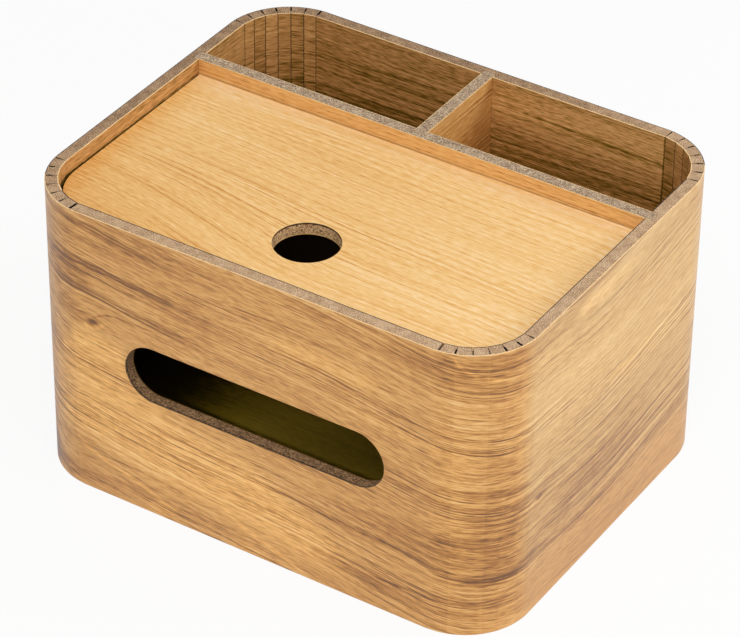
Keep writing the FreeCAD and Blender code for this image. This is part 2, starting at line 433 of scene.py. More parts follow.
def lifted(finish, colour, pale):
    """A colour made paler, with all its grain kept."""
    return finish.mix(pale, colour, finish.mix(1.0, colour, pale_lift, blend="MULTIPLY"))


dark_streaks = [
    # Under the rim: at the front left, and again from the front right to the right wall.
    [(-126, 149, 12, 0.0), (-110, 148, 12, 0.45), (-75, 149, 13, 0.85), (-50, 150, 11, 0.8),
     (-20, 149, 10, 0.4), (20, 149, 10, 0.1), (60, 150, 9, 0.1), (100, 151, 9, 0.9), (125, 151, 8, 0.8),
     (150, 152, 8, 0.6), (175, 152, 7, 0.5), (200, 154, 5, 0.0)],
    # Falling from the left wall to the right of the front, above the slot.
    [(-230, 132, 4, 0.0), (-150, 131, 5, 0.3), (-112, 130, 6, 0.7), (-85, 128, 6, 0.95),
     (-50, 125, 6, 0.7), (0, 121, 5, 0.2), (40, 119, 4, 0.1), (80, 114, 4, 0.0)],
    # The narrow streak below the slot, which runs on round the right corner and along the right wall.
    [(-105, 58, 1.6, 0.0), (-75, 54, 1.6, 0.3), (-45, 50.5, 1.6, 0.3), (-20, 48, 1.8, 0.3),
     (30, 43.5, 2.2, 0.4), (60, 40.5, 2.8, 0.8), (90, 38.5, 3.4, 0.9), (106, 34, 4.4, 1.0),
     (123, 31.5, 4.8, 1.0), (138, 31.5, 4.8, 1.0), (150, 33, 4.6, 1.0), (175, 30.5, 4.4, 0.9),
     (199, 28.5, 4.4, 0.9), (223, 28.5, 4.0, 0.8), (254, 31.5, 3.0, 0.6), (297, 39, 2.8, 0.3)],
    # The broad shade above that streak.
    [(20, 50, 8, 0.0), (50, 47, 12, 0.5), (80, 47, 14, 0.7), (110, 46, 15, 0.75), (130, 45, 17, 0.75),
     (150, 47, 20, 0.6), (200, 46, 20, 0.75), (250, 46, 20, 0.6), (300, 50, 18, 0.2)],
    # Painted shade over the whole left corner, then a streak on the right at the level of the slot's lower
    # edge.
    [(-290, 60, 78, 0.0), (-220, 60, 78, 0.2), (-160, 60, 78, 0.5), (-130, 61, 76, 0.7),
     (-115, 64, 60, 0.3), (-100, 70, 40, 0.0), (105, 65, 8, 0.0), (125, 65, 9, 0.7), (150, 66, 9, 0.7),
     (180, 68, 8, 0.4), (200, 68, 8, 0.6), (225, 67, 8, 0.8), (250, 70, 8, 0.4), (290, 74, 7, 0.1)],
    # The foot of the left corner, then the foot from the middle of the front to the right wall's end.
    [(-280, 12, 8, 0.0), (-215, 12, 11, 0.25), (-165, 10, 15, 0.55), (-135, 10, 18, 0.95),
     (-120, 10, 16, 0.9), (-106, 8, 10, 0.0), (0, 20, 7, 0.0), (40, 18, 8, 0.2), (70, 16, 9, 0.6),
     (100, 15, 9, 0.5), (130, 16, 8, 0.3), (146, 11, 12, 0.3), (165, 8, 18, 0.3), (296, 8, 18, 0.3)],
    # The foot of the left corner and the front left, then a faint shade up the right corner.
    [(-250, 16, 8, 0.0), (-200, 16, 10, 0.2), (-160, 14, 13, 0.55), (-135, 13, 15, 0.95),
     (-125, 12, 14, 1.0), (-105, 8, 7, 0.75), (-70, 8, 5, 0.6), (-42, 7, 4, 0.3), (-20, 5, 4, 0.0),
     (122, 90, 80, 0.0), (134, 90, 80, 0.12), (142, 90, 80, 0.15), (149, 90, 80, 0.0)],
    # High at the left end of the front, then from the slot's right end round the right corner.
    [(-125, 126, 12, 0.0), (-112, 124, 12, 0.4), (-100, 122, 11, 0.7), (-88, 120, 9, 0.3),
     (-76, 118, 8, 0.0), (60, 80, 6, 0.0), (75, 79, 8, 0.4), (100, 77, 9, 0.3), (130, 75, 9, 0.4),
     (150, 73, 8, 0.2), (170, 72, 8, 0.0)],
    # Above the slot to the left, then narrow and high at the right corner.
    [(-60, 128, 14, 0.0), (-30, 126, 16, 0.3), (-8, 124, 12, 0.0), (60, 147, 2, 0.0),
     (75, 145.5, 2.5, 0.4), (95, 143.5, 3, 0.6), (112, 142, 3.5, 0.7), (128, 140, 3.5, 0.6),
     (142, 138, 3, 0.2), (158, 137, 3, 0.0)],
    # By the left knot, above the slot, and two patches low at the right corner.
    [(-112, 103, 8, 0.0), (-100, 102, 9, 0.7), (-92, 101, 6, 0.4), (-86, 100, 4, 0.0), (-62, 114, 6, 0.0),
     (-48, 114, 7, 0.5), (-25, 114, 7, 0.5), (-10, 114, 6, 0.0), (92, 55, 5, 0.0), (104, 55, 6, 0.4),
     (125, 54, 7, 0.45), (138, 54, 6, 0.3), (141, 54, 5, 0.0), (143, 42, 6, 0.0), (150, 42, 7, 0.5),
     (175, 42, 7, 0.5), (192, 42, 6, 0.0)],
]
dark_lines = [
    # The long line over the slot, from the left corner to the right wall.
    [(-130, 132, 0.8, 0.0), (-95, 130, 0.9, 0.9), (-70, 128, 0.9, 1.0), (-45, 125.5, 0.8, 0.7),
     (0, 123, 0.7, 0.5), (25, 122.6, 0.8, 0.7), (45, 121, 0.8, 0.8), (63, 117, 0.8, 0.9),
     (85, 114.3, 0.8, 0.9), (106, 112.7, 0.8, 1.0), (129, 110, 0.8, 0.9), (146, 108.2, 0.7, 0.6),
     (175, 107, 0.7, 0.0)],
    # Beside it: above at the left, below at the right.
    [(-110, 133, 0.6, 0.0), (-80, 131, 0.7, 0.6), (-50, 128, 0.7, 0.5), (-20, 126, 0.6, 0.0),
     (30, 110, 0.7, 0.0), (45, 109.5, 0.8, 0.5), (70, 109, 0.8, 0.5), (90, 107.5, 0.8, 0.7),
     (116, 105.2, 0.8, 0.8), (138, 103, 0.7, 0.5), (160, 101.5, 0.7, 0.0)],
    # Short ones high on the front, then one high on the right wall.
    [(-12, 138.4, 0.6, 0.0), (0, 138.8, 0.7, 0.9), (20, 139.3, 0.7, 0.9), (36, 139.8, 0.6, 0.0),
     (64, 126, 0.7, 0.0), (72, 126.2, 0.8, 0.7), (85, 127, 0.7, 0.6), (92, 127.4, 0.7, 0.0),
     (172, 141.5, 0.9, 0.0), (199, 140, 1.0, 0.6), (220, 139.5, 1.0, 0.7), (243, 141, 1.0, 0.7),
     (275, 146, 0.9, 0.4), (288, 147.5, 0.8, 0.0)],
    # Another high on the front, one at the right corner, and one high on the right wall.
    [(15, 132.5, 0.9, 0.0), (28, 132, 1.0, 0.5), (50, 131.3, 0.9, 0.4), (60, 131, 0.8, 0.0),
     (103, 84, 0.7, 0.0), (112, 83, 0.8, 0.7), (128, 82, 0.8, 0.7), (142, 81, 0.7, 0.0),
     (146, 131, 0.9, 0.3), (170, 130.2, 1.0, 0.6), (208, 128.2, 1.1, 0.6), (228, 131, 1.2, 0.6),
     (246, 134.5, 1.2, 0.6), (270, 133.5, 1.0, 0.5), (295, 131, 0.9, 0.4)],
    # Along the narrow streak below the slot, then one on the right wall.
    [(-104, 55, 0.7, 0.0), (-85, 54, 0.7, 0.5), (-60, 52, 0.7, 0.5), (-27, 48.5, 0.7, 0.6),
     (0, 46, 0.7, 0.7), (25, 43.4, 0.8, 0.8), (45, 41, 0.8, 0.5), (60, 40.5, 1.0, 0.2),
     (90, 38, 1.6, 0.35), (106, 33.5, 2.0, 0.45), (123, 30.5, 2.6, 0.7), (138, 31, 2.6, 0.6),
     (150, 33, 2.2, 0.3), (160, 33, 1.2, 0.0), (165, 57.5, 0.8, 0.0), (181, 56.7, 0.9, 0.8),
     (223, 54, 1.0, 0.7), (255, 56.5, 1.0, 0.7), (295, 62, 0.9, 0.7)],
    # Above that streak, then one on the right wall at the slot's level.
    [(-100, 61.5, 0.7, 0.0), (-70, 60, 0.7, 0.5), (-30, 58, 0.7, 0.6), (0, 55, 0.7, 0.6),
     (25, 52, 0.7, 0.6), (60, 48, 0.7, 0.5), (90, 44, 0.7, 0.0), (140, 81, 0.8, 0.0), (150, 81, 0.8, 0.5),
     (199, 80.6, 0.8, 0.7), (217, 80.2, 0.8, 0.7), (271, 84.2, 0.8, 0.7), (295, 85.5, 0.8, 0.6)],
    # Short ones low on the front right, then one low on the right wall.
    [(40, 25.5, 0.9, 0.0), (46, 25.3, 1.1, 0.9), (53, 25.2, 0.9, 0.0), (60, 17.5, 0.8, 0.0),
     (75, 17.8, 1.0, 0.8), (97, 18.3, 1.0, 0.8), (121, 18, 0.9, 0.5), (132, 17.5, 0.8, 0.0),
     (165, 50, 0.8, 0.0), (181, 49.5, 0.9, 0.7), (235, 48.5, 1.0, 0.8), (265, 50.5, 1.0, 0.7),
     (295, 54, 0.9, 0.6)],
    # Over the left knot, then the lowest one on the right wall.
    [(-90, 101.5, 0.8, 0.0), (-86, 102.5, 0.8, 0.6), (-82, 105, 0.8, 1.0), (-72, 107, 0.8, 0.9),
     (-55, 107, 0.7, 0.6), (-30, 106, 0.7, 0.0), (165, 44.5, 0.9, 0.0), (185, 44, 1.0, 0.7),
     (235, 42.3, 1.1, 0.8), (270, 44.5, 1.0, 0.7), (297, 47.7, 0.9, 0.6)],
    # Low at the front left, then one on the right wall.
    [(-96, 22, 0.9, 0.0), (-80, 22.3, 1.0, 0.6), (-60, 21.5, 1.0, 0.6), (-40, 19.5, 0.9, 0.4),
     (-28, 18, 0.8, 0.0), (160, 62, 0.8, 0.0), (175, 61, 0.9, 0.6), (217, 59.3, 0.9, 0.7),
     (260, 63, 0.9, 0.6), (295, 68, 0.8, 0.5)],
]
pale_clouds = [
    # The lower left of the front, then painted sheen over the upper part of the right wall.
    [(-140, 60, 36, 0.0), (-105, 60, 38, 0.6), (-75, 52, 40, 1.0), (-40, 40, 30, 1.0), (0, 34, 28, 1.0),
     (30, 24, 20, 0.9), (50, 20, 14, 0.4), (70, 20, 10, 0.0), (120, 116, 34, 0.0), (150, 114, 36, 0.2),
     (200, 112, 36, 0.35), (260, 112, 36, 0.3), (300, 114, 34, 0.2)],
    # Spots left of the slot and at the foot, then the right end of the front over its height.
    [(-108, 78, 6, 0.0), (-100, 78, 7, 0.8), (-85, 77, 6, 0.4), (-76, 76, 5, 0.0), (-65, 5, 6, 0.0),
     (-50, 5, 6, 0.7), (-38, 5, 5, 0.0), (-14, 5, 6, 0.0), (0, 5, 6, 0.5), (14, 5, 5, 0.0),
     (92, 80, 70, 0.0), (104, 80, 70, 0.25), (114, 80, 70, 0.2), (122, 80, 70, 0.0)],
    # Left of the slot, above the slot, and high where the right wall starts.
    [(-102, 86, 8, 0.0), (-90, 86, 12, 0.9), (-75, 84, 12, 0.9), (-66, 84, 10, 0.0), (-5, 129, 6, 0.0),
     (15, 128.5, 7, 0.5), (30, 128, 7, 0.6), (60, 126, 7, 0.5), (90, 124, 6, 0.0), (143, 140, 9, 0.0),
     (149, 140, 11, 0.35), (165, 140, 11, 0.25), (182, 138, 8, 0.0)],
    # Low at the front left, over the slot's right end, at the right knot, and at the right wall's top.
    [(-112, 42, 8, 0.0), (-100, 42, 9, 0.6), (-75, 42, 9, 0.5), (-50, 41, 8, 0.5), (-28, 42, 6, 0.3),
     (-15, 42, 5, 0.0), (40, 107, 5, 0.0), (60, 107, 6, 0.3), (110, 105, 6, 0.2), (130, 104, 5, 0.0),
     (143, 64, 4, 0.0), (147, 64, 6, 0.6), (152, 63, 5, 0.5), (157, 61, 3, 0.4), (162, 61, 2, 0.0),
     (180, 147, 4, 0.0), (193, 148, 6, 0.7), (215, 147, 7, 0.6), (250, 148, 5, 0.0)],
    # A thin curve down to the foot at the left, one under the rim at the right corner, and a right cloud.
    [(-101, 34, 1.2, 0.0), (-96, 26, 1.6, 1.0), (-80, 19, 1.8, 1.0), (-60, 13, 1.8, 1.0),
     (-42, 5, 1.6, 0.6), (-36, 0, 1.5, 0.0), (104, 157, 2, 0.0), (108, 153.5, 2, 1.0),
     (114, 148.5, 2.2, 1.0), (121, 145.5, 2, 1.0), (129, 143.5, 1.5, 0.6), (134, 143, 1, 0.0),
     (200, 90, 7, 0.0), (225, 90, 8, 0.4), (250, 90, 8, 0.5), (275, 90, 8, 0.3), (290, 90, 6, 0.0)],
    # By the left knot, then a thin curve down to the foot in the middle.
    [(-93, 97, 1.6, 0.0), (-89, 96, 2.2, 1.0), (-84, 98, 2, 0.9), (-80, 100.5, 1.5, 0.6),
     (-74, 102, 1.2, 0.0), (-30, 40, 1.2, 0.0), (-24, 32, 1.4, 0.7), (-13, 19, 1.8, 1.0), (5, 11, 2, 1.0),
     (22, 5, 1.8, 0.8), (34, 0, 1.5, 0.0)],
]
outside_drawing = {"streaks": dark_streaks, "lines": dark_lines, "pales": pale_clouds}
print("drawn:", ", ".join(f"{len(points)} {kind}" for kind, points in outside_drawing.items()))

# %% [markdown]
# ## Knots, corners and the finished outside
# A knot is a place where the lines part and close again. Moving each point away from the knot's middle line
# by a bell-shaped amount does that, before the grain is looked up. A small dark bell marks its heart. Each
# strip between two bends of a corner gets a number, and so a tone of its own. The right wall is straw
# coloured, paler and greyer as painted sheen, and its years are even, but not down at its foot.

# %% Knots and the finished outside
# Each knot: distance along the wall, height, reach, and how dark its heart is.
knots = [(-87, 99.5, 6, 2.2), (155.5, 64.5, 3.5, 2.0)]
knot_stretch = 1.8
knot_push = 0.75
heart_sharpness = 9.0
# Each point: distance along the wall, and how far the grain has risen there.
grain_drift = [
    (-160, 20), (-100, 13), (-60, 7), (-25, 3), (25, 0), (62, -5), (100, -10), (130, -13), (160, -14),
    (180, -16), (212, -18), (240, -16), (262, -13), (310, -6),
]
most_drift = 30
corner_length = sum(corner_facets)
corner_starts = (front_flat / 2, front_flat / 2 + corner_length + side_flat)
facet_tone = 0.06
numbers_per_corner = 10


def knot_bell(finish, along, across, knot):
    """A bell round a knot, and how far above its middle a point is, in the knot's own size."""
    place, height, reach, _ = knot
    beside = finish.maths("DIVIDE", finish.maths("SUBTRACT", along, place), reach * knot_stretch)
    above = finish.maths("DIVIDE", finish.maths("SUBTRACT", across, height), reach)
    square = finish.total(finish.product(beside, beside), finish.product(above, above))
    return finish.maths("EXPONENT", finish.product(square, -1.0)), above


def drifted(finish, along, across):
    """Height across the grain, with the drift of the grain along the wall taken out."""
    share, places = along_points(finish, along, grain_drift)
    points = [(place, 0.5 + rise / most_drift / 2) for place, (_, rise) in zip(places, grain_drift)]
    return finish.maths("SUBTRACT", across, centred(finish, finish.curve(share, points), 2.0 * most_drift))


def bent_strips(finish, along):
    """1 on the bent corners and 0 on the flat walls, and a chance for each strip between two bends."""
    distance = finish.maths("ABSOLUTE", along)
    half_corner = corner_length / 2 / MM
    masks = []
    numbers = []
    for order, start in enumerate(corner_starts):
        from_bend = finish.maths("SUBTRACT", distance, start / MM)
        beside = finish.maths("ABSOLUTE", finish.maths("SUBTRACT", from_bend, half_corner))
        masks.append(finish.maths("LESS_THAN", beside, half_corner))
        strip = finish.maths("FLOOR", finish.maths("DIVIDE", from_bend, facet_length / MM))
        numbered = finish.maths("ADD", strip, 1.0 + numbers_per_corner * order)
        numbers.append(finish.product(numbered, masks[-1]))
    corner = finish.total(*masks)
    number = finish.product(finish.total(*numbers), finish.maths("SIGN", along))
    return corner, finish.chance(number)


def outside_ash():
    finish = Finish("ash_veneer_outside")
    along, across = on_the_wall(finish)
    flow = drifted(finish, along, across)
    hearts = []
    for knot in knots:
        bell, above = knot_bell(finish, along, across, knot)
        push = finish.product(bell, above, -knot_push * knot[2])
        flow = finish.total(flow, push)
        hearts.append(finish.product(finish.maths("POWER", bell, heart_sharpness), knot[3]))
    corner, chance = bent_strips(finish, along)
    on_the_right = finish.smooth(along, 138, 148)
    midway = finish.product(finish.smooth(across, 18, 30), finish.smooth(across, 85, 125, 1.0, 0.3))
    even = finish.product(finish.smooth(along, 110, 150, 0.1, 0.32), midway)
    right_foot = finish.product(on_the_right, finish.smooth(across, 14, 30, 1.0, 0.0))
    lines = finish.maths("MULTIPLY_ADD", right_foot, -0.26, 0.36)
    fibres = finish.maths("MULTIPLY_ADD", right_foot, -0.42, 0.64)
    flecks = finish.maths("MULTIPLY_ADD", right_foot, -0.3, finish.smooth(on_the_right, 0.0, 1.0, 0.8, 0.65))
    tone, pore = ash_tone(
        finish, along, flow, 2.4, wander=7, bands=0.33, streaks=0.24, lines=lines, even=even, pores=0.12,
        fibres=fibres, flecks=flecks, bent_share=corner,
    )
    shifted = finish.total(tone, finish.product(centred(finish, chance, facet_tone), corner))
    drawn, pale = drawn_over(finish, shifted, along, across, flow, outside_drawing, hearts)
    # Painted sheen: the right wall above its foot takes the straw browns.
    not_at_foot = finish.smooth(across, 18, 40, 0.15, 1.0)
    straw = finish.product(on_the_right, not_at_foot)
    colour = finish.mix(straw, finish.ramp(drawn, honey_browns), finish.ramp(drawn, sheen_straw_browns))
    return ash_surface(finish, lifted(finish, colour, pale), drawn, pore)


ash_outside = outside_ash()
print(ash_outside.name, "has", len(ash_outside.node_tree.nodes), "nodes")

# %% [markdown]
# ## The lining's finish
# The inside is lined with the same wood, browner, with painted shade low down on the rear wall. The saw cuts
# have parted it into strips at the corners, and each strip slipped a little when the board was bent. So in
# the corners a number per strip shifts the grain and the tone. The lining has more painted shade: a dark
# line at the lid's level and browner below the lid in the front compartment, and darker beside the seam.

# %% Lining
lining_browns = browns(
    even_stops, (46, 36, 0), (121, 88, 14), (196, 143, 84), (224, 177, 112), (238, 200, 142)
)
lively = {
    "wander": 6, "bands": 0.26, "streaks": 0.15, "lines": 0.16, "even": 0.0, "pores": 0.08, "fibres": 0.34,
    "flecks": 0.85,
}
thin_varnish = 0.1
lining_drawing = {
    "streaks": [
        # Painted shade low along the rear wall.
        [(-550, 109, 19, 0.85), (-445, 109, 19, 0.85), (-437, 106, 18, 1.0), (-400, 108, 19, 1.0),
         (-340, 108, 19, 0.7)],
        # The rear right corner.
        [(288, 105, 75, 0.0), (300, 105, 75, 0.5), (341, 105, 75, 0.5)],
        # A shade high in the left compartment.
        [(-445, 141, 18, 0.0), (-436, 141, 18, 0.15), (-345, 141, 18, 0.25), (-335, 141, 18, 0.0)],
    ],
    "lines": [
        [(-550, 141, 1.1, 0.3), (-520, 142, 1.1, 0.9), (-490, 143, 1.3, 0.8), (-460, 144.5, 1.1, 0.6),
         (-440, 145, 1.1, 0.0)],
        [(-548, 124.5, 1.0, 0.6), (-500, 125.5, 1.1, 0.7), (-470, 125, 1.1, 0.7), (-443, 124, 1.0, 0.6)],
        [(-548, 120, 1.0, 0.6), (-500, 121, 1.1, 0.6), (-443, 119.5, 1.0, 0.6)],
        [(-438, 133, 0.9, 0.4), (-395, 133.2, 1.0, 0.5), (-345, 134, 0.9, 0.4)],
        [(-438, 127, 0.9, 0.4), (-395, 128, 1.0, 0.5), (-345, 129, 0.9, 0.4)],
        [(-430, 140, 1.2, 0.6), (-405, 139.5, 1.5, 0.7), (-370, 138, 1.5, 0.6), (-345, 137, 1.2, 0.3),
         (-320, 136, 1.2, 0.0)],
    ],
    "pales": [
        [(-545, 147, 17, 0.9), (-500, 146, 18, 0.9), (-450, 147, 17, 0.8), (-438, 147, 12, 0.0)],
    ],
}
strip_slip = 2.5
strip_tone = 0.12
# Painted shade below the lid, on the lining and the front divider: how far down it reaches, how dark.
under_lid_reach = 75
under_lid_tone = 0.75
# Painted shade beside the seam: how dark, and over what half width it is dark and then fades.
seam_tone = 0.25
seam_dark_half = 0.85
seam_soft_half = 1.25
lid_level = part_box("lid_top_veneer")[1].z / MM
divider_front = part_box("rear_divider_front_veneer")[0].y / MM
divider_place = wall_place(Vector((case_low.x, divider_front * MM, 0)))[0] / -MM


def painted_shade_by_the_lid(finish, along, across):
    """Painted shade in the front compartment: a dark line at the lid's level, and slowly browner below."""
    in_front = finish.smooth(finish.maths("ABSOLUTE", along), divider_place - 2, divider_place + 2, 1.0, 0.0)
    from_lid = finish.maths("ABSOLUTE", finish.maths("SUBTRACT", across, lid_level - 3))
    line = finish.smooth(from_lid, 2, 4, -0.3, 0.0)
    below = finish.smooth(across, lid_level - under_lid_reach, lid_level - 8, -under_lid_tone, 0.0)
    return finish.product(finish.total(line, below), in_front)


def painted_seam_shade(finish, along):
    """Painted shade beside the seam, where the lining's two ends don't quite meet."""
    gaps = [
        finish.maths("ABSOLUTE", finish.maths("SUBTRACT", along, end / MM))
        for end in (corner_starts[1] + corner_length, rear_distance)
    ]
    return finish.smooth(finish.maths("MINIMUM", *gaps), seam_dark_half, seam_soft_half, -seam_tone, 0.0)


def lining_ash():
    finish = Finish("ash_veneer_lining")
    along, across = on_the_wall(finish)
    corner, chance = bent_strips(finish, along)
    flow = finish.total(across, finish.product(centred(finish, chance, strip_slip), corner))
    tone, pore = ash_tone(finish, along, flow, 53.0, bent_share=corner, **lively)
    shifted = finish.total(
        tone,
        finish.product(centred(finish, chance, strip_tone), corner),
        painted_shade_by_the_lid(finish, along, across),
        painted_seam_shade(finish, along),
    )
    drawn, pale = drawn_over(finish, shifted, along, flow, flow, lining_drawing)
    colour = lifted(finish, finish.ramp(drawn, lining_browns), pale)
    return ash_surface(finish, colour, drawn, pore, coat=thin_varnish)


ash_lining = lining_ash()
print(ash_lining.name, "has", len(ash_lining.node_tree.nodes), "nodes")

# %% [markdown]
# ## The plainer sheets
# The lid is one calm sheet, pale honey, a little less glossy than the rest, and its lines slope gently,
# under painted light and shade. The dividers have the same calm figure in a warmer brown, with painted
# shade lower down. The floor is brown like the lining in the compartments, and olive under the lid, with
# painted light and shade there. The two strips under the lid are solid ash.

# %% Lid, dividers, floor and strips
pale_honeys = browns(
    even_stops, (190, 126, 50), (220, 161, 82), (235, 187, 107), (246, 206, 138), (252, 225, 172)
)
lid_honeys = browns(
    even_stops, (191, 128, 54), (221, 164, 90), (236, 190, 119), (247, 209, 154), (252, 229, 190)
)
warm_browns = browns(
    even_stops, (150, 94, 38), (205, 143, 72), (235, 183, 112), (244, 200, 132), (248, 212, 152)
)
# The front divider's darkest stop is darker still, for its painted shade below the lid.
shaded_browns = [(0.00, seen(60, 42, 10)), *warm_browns[1:]]
olive_browns = browns(
    even_stops, (70, 58, 4), (126, 104, 14), (186, 156, 40), (212, 182, 62), (228, 204, 96)
)
lid_shine = 0.25
calm = {
    "wander": 3, "bands": 0.2, "streaks": 0.12, "lines": 0.22, "even": 0.3, "pores": 0.05, "fibres": 0.42,
    "flecks": 0.8,
}


def plain_ash(name, coordinates, stops, seed, shade=None, flow=None, coat=0.4, shine=0.5, **strengths):
    """A sheet of ash. A shade adds painted light and shade over some part of it, and a flow bends its lines.
    """
    finish = Finish(name)
    along, across = coordinates(finish)
    lines = flow(finish, along, across) if flow else across
    tone, pore = ash_tone(finish, along, lines, seed, **strengths)
    if shade:
        tone = finish.total(tone, shade(finish, along, across))
    return ash_surface(finish, finish.ramp(tone, stops), tone, pore, coat, shine)


# Painted shade on the front divider: browner below the lid, as on the lining.
def painted_shade_below_the_lid(finish, along, height):
    return finish.smooth(height, lid_level - under_lid_reach, lid_level - 10, -under_lid_tone, 0.0)


# A slightly darker tone all over, and painted shade that deepens lower down in the compartments.
def painted_shade_lower_down(finish, along, height):
    return finish.smooth(height, lid_level - 30, lid_level + 8, -0.25, -0.06)


def sloping(finish, along, across):
    """The lid's lines fall a little to the right, most at its front left, and rise at its rear left."""
    fall = finish.total(finish.smooth(across, -85, -20, 22.0, 5.0), finish.smooth(across, -5, 30, 0.0, -9.0))
    fallen = finish.product(fall, finish.smooth(along, -124, 20))
    return finish.total(across, fallen, finish.product(along, 0.03))


def painted_lid_light(finish, along, across):
    """Painted shade at the lid's left end and front left, and painted light at its right and rear."""
    return finish.total(
        finish.smooth(along, -30, 110, 0.0, 0.12),
        finish.smooth(along, -122, -106, -0.12, 0.0),
        finish.smooth(finish.total(along, across), -200, -60, -0.12, 0.0),
        finish.smooth(finish.maths("SUBTRACT", along, across), -140, -40, 0.1, 0.0),
        finish.smooth(across, 18, 33, 0.0, 0.16),
    )


def floor_ash(coordinates, seed):
    """Brown in the compartments, and olive under the lid with painted light and shade."""
    finish = Finish("ash_veneer_floor")
    along, across = coordinates(finish)
    tone, pore = ash_tone(finish, along, across, seed, **lively)
    under_lid = finish.smooth(across, divider_front, divider_front + 6, 1.0, 0.0)
    # Painted shade to the left and along the front under the lid, and painted light to its right.
    shade = finish.total(
        finish.smooth(along, -125, -45, -0.9, 0.2),
        finish.smooth(across, -35, -32, -0.5, 0.0),
    )
    shaded = finish.total(tone, finish.product(shade, under_lid))
    colour = finish.mix(under_lid, finish.ramp(tone, lining_browns), finish.ramp(shaded, olive_browns))
    return ash_surface(finish, colour, shaded, pore)


lying = on_a_board(0, 1)
standing = on_a_board(0, 2)
ash_lid = plain_ash(
    "ash_veneer_lid", lying, lid_honeys, 41.0, painted_lid_light, sloping, thin_varnish, lid_shine, **calm
)
ash_divider = plain_ash("ash_veneer_divider", standing, shaded_browns, 61.0, painted_shade_below_the_lid, **calm)
ash_cross = plain_ash("ash_veneer_cross_divider", on_a_board(1, 2), warm_browns, 67.0, painted_shade_lower_down, **calm)
ash_divider_rear = plain_ash("ash_veneer_divider_rear", standing, warm_browns, 61.0, painted_shade_lower_down, **calm)
ash_floor = floor_ash(lying, 71.0)
ash_strip = plain_ash("ash_strip", standing, pale_honeys, 79.0, **calm)
sheets = [ash_lid, ash_divider, ash_cross, ash_divider_rear, ash_floor, ash_strip]
print("plain ash:", ", ".join(sheet.name for sheet in sheets))

# %% [markdown]
# ## Fibreboard and the veneer's own edge
# Sawn fibreboard is grey brown, matt and speckled with darker and paler fibre bundles under half a
# millimetre across. A fine noise gives the fibres, a coarser one the clouds, and rare peaks the dark
# specks. The slot's edge is darker and the inside of the cuts almost black, both painted shade. The
# veneer's own edge is a thin line: dark where glue soaked in, honey where it was sanded clean. Round the
# rim it is painted light as well: honey as a painted highlight on the outer edge of the front and right
# and the inner edge of the left and rear, dark as painted shade on the other edges.

# %% Fibreboard and edge
board_stops = (0.0, 0.5, 1.0)
glue_soak = 0.9 * MM
glue_tone = 0.8
board_bump = 0.12


def speckled(name, stops, roughness, grain_mm, toned_down=0.0, glue=None):
    """Speckled board, darker towards the rear left by a given share. Glue gives
    an axis and two places on it: the board darkens from the first to the second, where glue soaked in."""
    finish = Finish(name)
    point = finish.node("ShaderNodeTexCoord", {}).outputs["Object"]
    fine = finish.node("ShaderNodeTexNoise", {"Vector": point, "Scale": 1 / (grain_mm * MM), "Detail": 2.0})
    cloud = finish.node("ShaderNodeTexNoise", {"Vector": point, "Scale": 1 / (4 * MM), "Detail": 2.0})
    speck = finish.node("ShaderNodeTexVoronoi", {"Vector": point, "Scale": 1 / (1.8 * grain_mm * MM)})
    place = finish.node("ShaderNodeSeparateXYZ", {0: point})
    rearward = finish.maths("SUBTRACT", place.outputs[1], place.outputs[0])
    tone = finish.total(
        0.58,
        centred(finish, fine.outputs[0], 2.2),
        centred(finish, cloud.outputs[0], 0.6),
        finish.smooth(speck.outputs["Distance"], 0.08, 0.30, -0.3, 0.0),
        finish.smooth(rearward, -60 * MM, 110 * MM, 0.0, -toned_down),
    )
    if glue:
        axis, inside, outside = glue
        tone = finish.total(tone, finish.smooth(place.outputs[axis], inside, outside, 0.0, -glue_tone))
    rough = finish.smooth(tone, 0.0, 1.0, roughness + 0.08, roughness - 0.06)
    return finish.shine(finish.ramp(tone, stops), rough, tone, board_bump)


fibreboard = speckled(
    "fibreboard", browns(board_stops, (84, 60, 38), (178, 142, 106), (230, 200, 162)), 0.8, 0.5, toned_down=0.24
)
grey_board = speckled(
    "fibreboard_divider", browns(board_stops, (66, 48, 34), (157, 130, 102), (214, 190, 158)), 0.8, 0.6
)
front_glue = case_low.y + veneer
# The slot's edge is darker as painted shade, and darker still by the front veneer where glue soaked in.
shaded_slot_board = speckled(
    "fibreboard_slot_shade",
    browns(board_stops, (38, 24, 10), (124, 91, 58), (172, 136, 96)),
    0.75,
    0.8,
    glue=(1, front_glue + glue_soak, front_glue),
)
lid_glue = lid_level * MM - veneer
bored_board = speckled(
    "fibreboard_bored",
    browns(board_stops, (70, 42, 16), (188, 143, 95), (238, 206, 156)),
    0.75,
    0.8,
    glue=(2, lid_glue - glue_soak, lid_glue),
)
ochre_edge = speckled(
    "veneer_edge_routed", browns(board_stops, (52, 34, 4), (100, 70, 14), (140, 100, 34)), 0.6, 0.6
)
# Inside the saw cuts the board is almost black, painted shade.
kerf_shade_board = speckled(
    "fibreboard_saw_cut_shade", browns(board_stops, (4, 3, 2), (12, 9, 6), (26, 19, 12)), 0.9, 0.8
)
# The veneer's edge: honey as clean wood and painted highlight, dark as glue and painted shade.
clean_and_lit_edge = speckled(
    "veneer_edge_clean_and_lit", browns(board_stops, (206, 156, 96), (248, 206, 146), (255, 232, 188)), 0.5, 0.6
)
glue_and_shade_edge = speckled(
    "veneer_edge_glue_and_shade", browns(board_stops, (12, 7, 4), (30, 18, 11), (58, 37, 24)), 0.7, 0.6
)
boards = [fibreboard, grey_board, shaded_slot_board, bored_board]
edges = [kerf_shade_board, ochre_edge, clean_and_lit_edge, glue_and_shade_edge]
print("boards:", ", ".join(board.name for board in boards))
print("edges:", ", ".join(edge.name for edge in edges))

